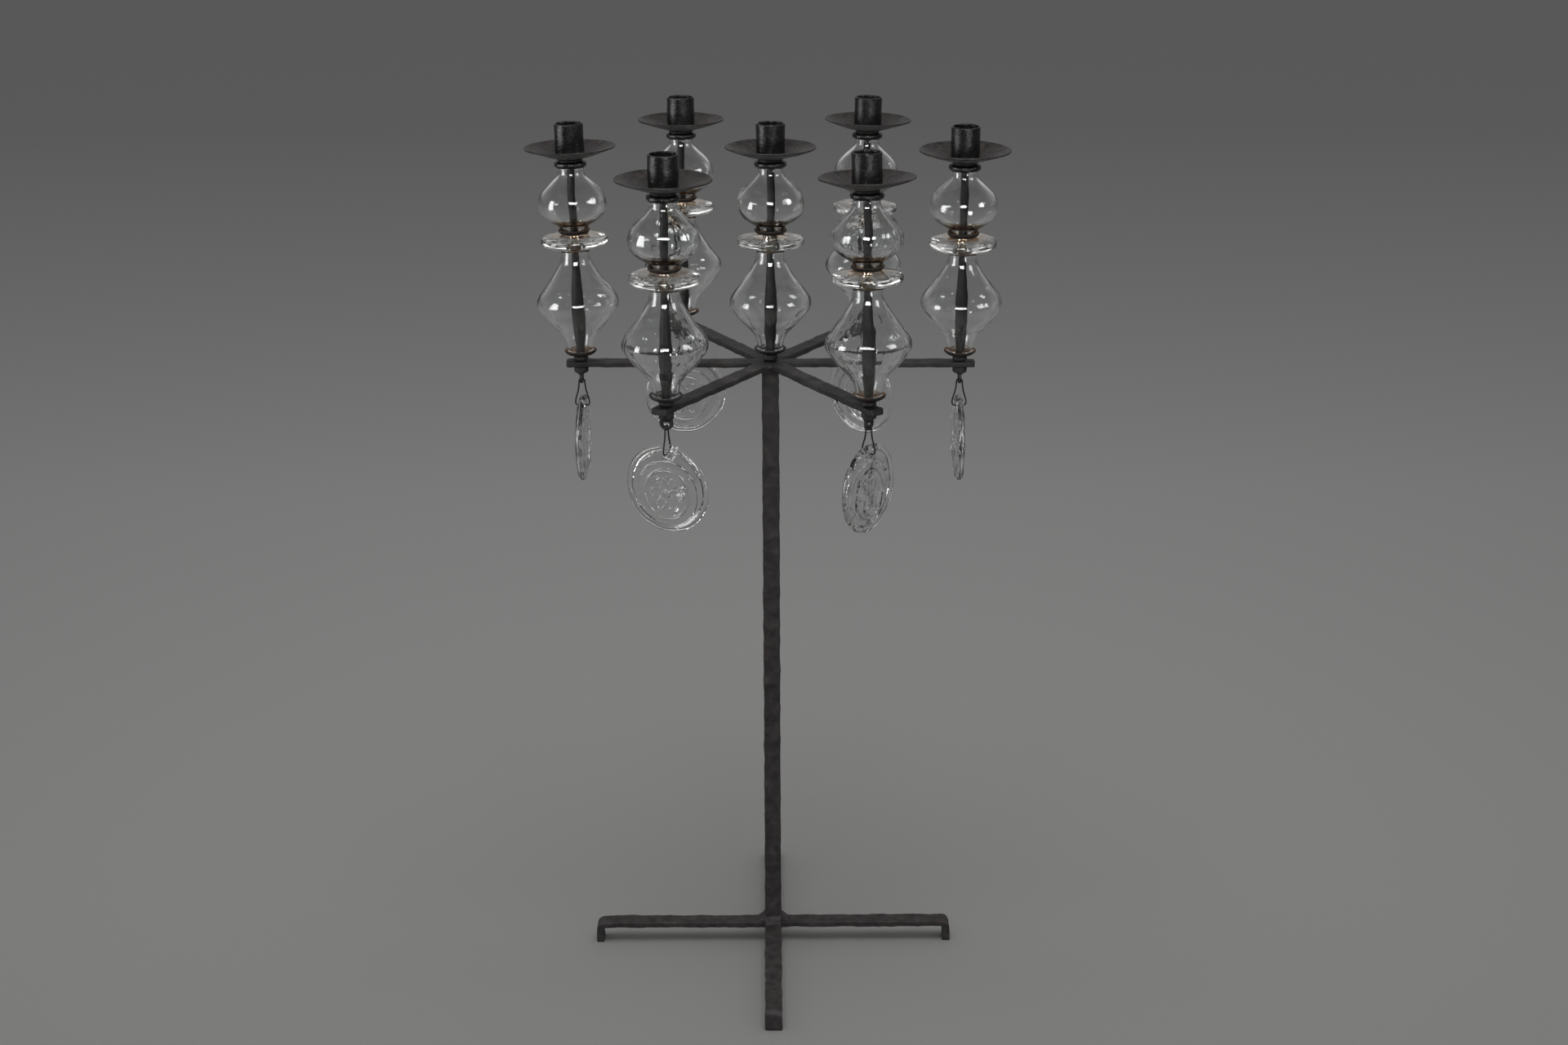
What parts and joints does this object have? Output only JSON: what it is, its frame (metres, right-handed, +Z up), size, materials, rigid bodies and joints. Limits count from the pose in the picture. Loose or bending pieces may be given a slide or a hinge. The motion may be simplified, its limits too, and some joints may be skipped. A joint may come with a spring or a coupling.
{
  "type": "floor candelabra",
  "caption": "Tall floor candelabra of forged iron: a star of arms carries candle cups on blown glass bulbs and discs, with clear glass medallions hanging on wires below.",
  "frame": {"origin": "on the floor under the stem's axis", "axes": "+Z up, +X towards the right-hand arm and foot, -Y towards the viewer"},
  "size_m": [0.6369, 0.5724, 1.2007],
  "materials": {
    "forged_iron": "hammered and waxed, dark brownish black",
    "black_iron": "blackened, slightly glossy, worn at the rims",
    "rusty_iron": "blackened with brown rust",
    "wire": "blackened wire",
    "clear_glass": "thin blown clear glass",
    "thick_glass": "thick clear glass with polished edge",
    "pressed_glass": "thick clear pressed glass with a wavy rim"
  },
  "bodies": {
    "root": {"stem": "forged_iron", "base_bar_side": "forged_iron", "base_bar_front": "forged_iron", "arm_bar_a": "forged_iron", "arm_bar_b": "forged_iron", "arm_bar_c": "forged_iron", "spindle_right": "forged_iron", "lower_glass_right": "clear_glass", "glass_disc_right": "thick_glass", "disc_ferrule_right": "rusty_iron", "upper_glass_right": "clear_glass", "candle_cup_right": "black_iron", "spindle_back_right": "forged_iron", "lower_glass_back_right": "clear_glass", "glass_disc_back_right": "thick_glass", "disc_ferrule_back_right": "rusty_iron", "upper_glass_back_right": "clear_glass", "candle_cup_back_right": "black_iron", "spindle_back_left": "forged_iron", "lower_glass_back_left": "clear_glass", "glass_disc_back_left": "thick_glass", "disc_ferrule_back_left": "rusty_iron", "upper_glass_back_left": "clear_glass", "candle_cup_back_left": "black_iron", "spindle_left": "forged_iron", "lower_glass_left": "clear_glass", "glass_disc_left": "thick_glass", "disc_ferrule_left": "rusty_iron", "upper_glass_left": "clear_glass", "candle_cup_left": "black_iron", "spindle_front_left": "forged_iron", "lower_glass_front_left": "clear_glass", "glass_disc_front_left": "thick_glass", "disc_ferrule_front_left": "rusty_iron", "upper_glass_front_left": "clear_glass", "candle_cup_front_left": "black_iron", "spindle_front_right": "forged_iron", "lower_glass_front_right": "clear_glass", "glass_disc_front_right": "thick_glass", "disc_ferrule_front_right": "rusty_iron", "upper_glass_front_right": "clear_glass", "candle_cup_front_right": "black_iron", "spindle_centre": "forged_iron", "lower_glass_centre": "clear_glass", "glass_disc_centre": "thick_glass", "disc_ferrule_centre": "rusty_iron", "upper_glass_centre": "clear_glass", "candle_cup_centre": "black_iron"},
    "hanger_right": {"hanger_right": "wire"},
    "medallion_right": {"medallion_right": "pressed_glass"},
    "hanger_back_right": {"hanger_back_right": "wire"},
    "medallion_back_right": {"medallion_back_right": "pressed_glass"},
    "hanger_back_left": {"hanger_back_left": "wire"},
    "medallion_back_left": {"medallion_back_left": "pressed_glass"},
    "hanger_left": {"hanger_left": "wire"},
    "medallion_left": {"medallion_left": "pressed_glass"},
    "hanger_front_left": {"hanger_front_left": "wire"},
    "medallion_front_left": {"medallion_front_left": "pressed_glass"},
    "hanger_front_right": {"hanger_front_right": "wire"},
    "medallion_front_right": {"medallion_front_right": "pressed_glass"}
  },
  "joints": [
    {"name": "hanger_swing_right", "type": "hinge", "parent": "root", "child": "hanger_right", "pos_m": [0.25596, -0.00447, 0.85], "axis": [-0.0175, 0.9998, 0], "range_deg": [-60, 60]},
    {"name": "medallion_swing_right", "type": "hinge", "parent": "hanger_right", "child": "medallion_right", "pos_m": [0.25596, -0.00447, 0.817], "axis": [0.9998, 0.0175, 0], "range_deg": [-45, 45]},
    {"name": "hanger_swing_back_right", "type": "hinge", "parent": "root", "child": "hanger_back_right", "pos_m": [0.13185, 0.21943, 0.85], "axis": [-0.7547, 0.6561, 0], "range_deg": [-60, 60]},
    {"name": "medallion_swing_back_right", "type": "hinge", "parent": "hanger_back_right", "child": "medallion_back_right", "pos_m": [0.13185, 0.21943, 0.817], "axis": [0.6561, 0.7547, 0], "range_deg": [-45, 45]},
    {"name": "hanger_swing_back_left", "type": "hinge", "parent": "root", "child": "hanger_back_left", "pos_m": [-0.12411, 0.2239, 0.85], "axis": [-0.9976, -0.0698, 0], "range_deg": [-60, 60]},
    {"name": "medallion_swing_back_left", "type": "hinge", "parent": "hanger_back_left", "child": "medallion_back_left", "pos_m": [-0.12411, 0.2239, 0.817], "axis": [-0.0698, 0.9976, 0], "range_deg": [-45, 45]},
    {"name": "hanger_swing_left", "type": "hinge", "parent": "root", "child": "hanger_left", "pos_m": [-0.25596, 0.00447, 0.85], "axis": [-0.0523, -0.9986, 0], "range_deg": [-60, 60]},
    {"name": "medallion_swing_left", "type": "hinge", "parent": "hanger_left", "child": "medallion_left", "pos_m": [-0.25596, 0.00447, 0.817], "axis": [-0.9986, 0.0523, 0], "range_deg": [-45, 45]},
    {"name": "hanger_swing_front_left", "type": "hinge", "parent": "root", "child": "hanger_front_left", "pos_m": [-0.13185, -0.21943, 0.85], "axis": [0.8988, -0.4384, 0], "range_deg": [-60, 60]},
    {"name": "medallion_swing_front_left", "type": "hinge", "parent": "hanger_front_left", "child": "medallion_front_left", "pos_m": [-0.13185, -0.21943, 0.817], "axis": [-0.4384, -0.8988, 0], "range_deg": [-45, 45]},
    {"name": "hanger_swing_front_right", "type": "hinge", "parent": "root", "child": "hanger_front_right", "pos_m": [0.12411, -0.2239, 0.85], "axis": [0.5592, 0.829, 0], "range_deg": [-60, 60]},
    {"name": "medallion_swing_front_right", "type": "hinge", "parent": "hanger_front_right", "child": "medallion_front_right", "pos_m": [0.12411, -0.2239, 0.817], "axis": [0.829, -0.5592, 0], "range_deg": [-45, 45]}
  ]
}
